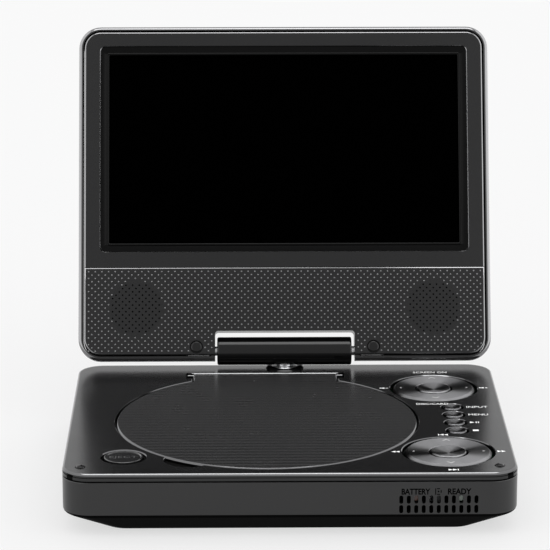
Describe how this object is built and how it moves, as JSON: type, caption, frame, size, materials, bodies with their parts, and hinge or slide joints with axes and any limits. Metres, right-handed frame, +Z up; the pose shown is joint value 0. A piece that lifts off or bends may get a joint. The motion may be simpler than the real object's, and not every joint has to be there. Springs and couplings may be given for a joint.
{
  "type": "portable dvd player",
  "caption": "Portable disc player: flat base with a hinged disc door, rocking key rings and menu keys, and a display lid on a swivelling, tilting barrel hinge.",
  "frame": {"origin": "on the floor, under the middle of the whole object as it stands open", "axes": "+X to the user's right, +Y from the front edge towards the screen, +Z up"},
  "size_m": [0.1953, 0.2171, 0.1819],
  "materials": {
    "satin_black": "fine satin moulded plastic",
    "matte_black": "plain moulded plastic",
    "gloss_black": "polished plastic",
    "key_metal": "turned, metallised plastic",
    "display": "dark display behind a smooth polariser",
    "steel": "bright steel",
    "motor_steel": "plated motor can",
    "rubber": "soft rubber",
    "board_green": "circuit board",
    "battery_wrap": "shrink wrap",
    "lens_glass": "coated lens",
    "led_red": "clear tinted resin",
    "led_green": "clear tinted resin",
    "speaker_cone": "paper cone and frame"
  },
  "bodies": {
    "base": {"base_bottom_shell": "satin_black", "base_top_cover": "satin_black", "disc_well_tray": "matte_black", "drive_chassis": "steel", "spindle_motor": "motor_steel", "sled_rod_left": "steel", "sled_rod_right": "steel", "sled_motor": "motor_steel", "main_board": "board_green", "keypad_board": "board_green", "battery_pack": "battery_wrap", "power_jack": "matte_black", "headphone_jack": "matte_black", "av_jack": "matte_black", "usb_port": "steel", "card_slot": "steel", "charge_led": "led_red", "power_led": "led_green", "ir_receiver": "matte_black", "foot_1": "rubber", "foot_2": "rubber", "foot_3": "rubber", "foot_4": "rubber", "lid_bumper_left": "rubber", "lid_bumper_right": "rubber", "case_screw_1": "steel", "case_screw_2": "steel", "case_screw_3": "steel", "case_screw_4": "steel", "swivel_pedestal": "gloss_black"},
    "swivel_head": {"hinge_core": "steel", "barrel_cover_front": "gloss_black", "barrel_cover_rear": "gloss_black", "tilt_shaft": "steel"},
    "lid": {"lid_rear_shell": "satin_black", "lid_bezel": "satin_black", "lcd_panel": "display", "speaker_left": "speaker_cone", "speaker_right": "speaker_cone", "screw_plug_left": "gloss_black", "screw_plug_right": "gloss_black", "hinge_bracket": "steel"},
    "disc_door": {"disc_door": "satin_black"},
    "door_latch": {"door_latch": "matte_black"},
    "open_button": {"open_button": "satin_black"},
    "turntable": {"turntable_hub": "matte_black"},
    "pickup_sled": {"pickup_sled": "matte_black"},
    "pickup_lens": {"pickup_lens": "lens_glass"},
    "lead_screw": {"lead_screw": "steel"},
    "power_switch": {"power_switch_knob": "matte_black"},
    "upper_rocker": {"upper_ring_rocker": "matte_black"},
    "upper_ring": {"upper_ring": "key_metal"},
    "upper_select": {"upper_select_button": "key_metal"},
    "lower_rocker": {"lower_ring_rocker": "matte_black"},
    "lower_ring": {"lower_ring": "key_metal"},
    "lower_select": {"lower_select_button": "key_metal"},
    "menu_key_1": {"menu_key_1": "key_metal"},
    "menu_key_2": {"menu_key_2": "key_metal"},
    "menu_key_3": {"menu_key_3": "key_metal"},
    "menu_key_4": {"menu_key_4": "key_metal"}
  },
  "joints": [
    {"name": "screen_swivel", "type": "hinge", "parent": "base", "child": "swivel_head", "pos_m": [0, 0.0464, 0.0359], "axis": [0, 0, 1], "range_deg": [-90, 180]},
    {"name": "screen_tilt", "type": "hinge", "parent": "swivel_head", "child": "lid", "pos_m": [0, 0.0464, 0.0359], "axis": [1, 0, 0], "range_deg": [-68.5, 111.5]},
    {"name": "disc_door_hinge", "type": "hinge", "parent": "base", "child": "disc_door", "pos_m": [-0.0093, 0.0348, 0.02705], "axis": [-1, 0, 0], "range_deg": [0, 65]},
    {"name": "open_button_press", "type": "slide", "parent": "base", "child": "open_button", "axis": [0, 0, -1], "range_m": [0, 0.0012], "stiffness_N_per_m": 500},
    {"name": "door_latch_slide", "type": "slide", "parent": "base", "child": "door_latch", "axis": [-0.7731, -0.6343, 0], "range_m": [0, 0.0015]},
    {"name": "spindle_spin", "type": "hinge", "parent": "base", "child": "turntable", "pos_m": [-0.0093, -0.0346, 0.019], "axis": [0, 0, 1], "continuous": true},
    {"name": "sled_slide", "type": "slide", "parent": "base", "child": "pickup_sled", "axis": [0, -1, 0], "range_m": [0, 0.033]},
    {"name": "lead_screw_turn", "type": "hinge", "parent": "base", "child": "lead_screw", "pos_m": [0.0142, -0.0586, 0.012], "axis": [0, 1, 0], "range_deg": [0, 3961]},
    {"name": "lens_focus", "type": "slide", "parent": "pickup_sled", "child": "pickup_lens", "axis": [0, 0, 1], "range_m": [-0.0004, 0.0004], "stiffness_N_per_m": 60},
    {"name": "power_switch_slide", "type": "slide", "parent": "base", "child": "power_switch", "axis": [0, 1, 0], "range_m": [0, 0.005]},
    {"name": "upper_ring_left_right", "type": "hinge", "parent": "base", "child": "upper_rocker", "pos_m": [0.0685, 0.0119, 0.026], "axis": [0, 1, 0], "range_deg": [-1, 1], "stiffness_Nm_per_rad": 0.6},
    {"name": "upper_ring_up_down", "type": "hinge", "parent": "upper_rocker", "child": "upper_ring", "pos_m": [0.0685, 0.0119, 0.026], "axis": [1, 0, 0], "range_deg": [-1, 1], "stiffness_Nm_per_rad": 0.6},
    {"name": "upper_select_press", "type": "slide", "parent": "base", "child": "upper_select", "axis": [0, 0, -1], "range_m": [0, 0.0006], "stiffness_N_per_m": 1500},
    {"name": "lower_ring_left_right", "type": "hinge", "parent": "base", "child": "lower_rocker", "pos_m": [0.069, -0.0801, 0.026], "axis": [0, 1, 0], "range_deg": [-1, 1], "stiffness_Nm_per_rad": 0.6},
    {"name": "lower_ring_up_down", "type": "hinge", "parent": "lower_rocker", "child": "lower_ring", "pos_m": [0.069, -0.0801, 0.026], "axis": [1, 0, 0], "range_deg": [-1, 1], "stiffness_Nm_per_rad": 0.6},
    {"name": "lower_select_press", "type": "slide", "parent": "base", "child": "lower_select", "axis": [0, 0, -1], "range_m": [0, 0.0006], "stiffness_N_per_m": 1500},
    {"name": "menu_key_1_press", "type": "slide", "parent": "base", "child": "menu_key_1", "axis": [0, 0, -1], "range_m": [0, 0.0006], "stiffness_N_per_m": 1500},
    {"name": "menu_key_2_press", "type": "slide", "parent": "base", "child": "menu_key_2", "axis": [0, 0, -1], "range_m": [0, 0.0006], "stiffness_N_per_m": 1500},
    {"name": "menu_key_3_press", "type": "slide", "parent": "base", "child": "menu_key_3", "axis": [0, 0, -1], "range_m": [0, 0.0006], "stiffness_N_per_m": 1500},
    {"name": "menu_key_4_press", "type": "slide", "parent": "base", "child": "menu_key_4", "axis": [0, 0, -1], "range_m": [0, 0.0006], "stiffness_N_per_m": 1500}
  ],
  "couplings": [
    {"joint": "door_latch_slide", "follows": "open_button_press", "ratio": 1.25},
    {"joint": "lead_screw_turn", "follows": "sled_slide", "rad_per_m": 2094.4}
  ]
}
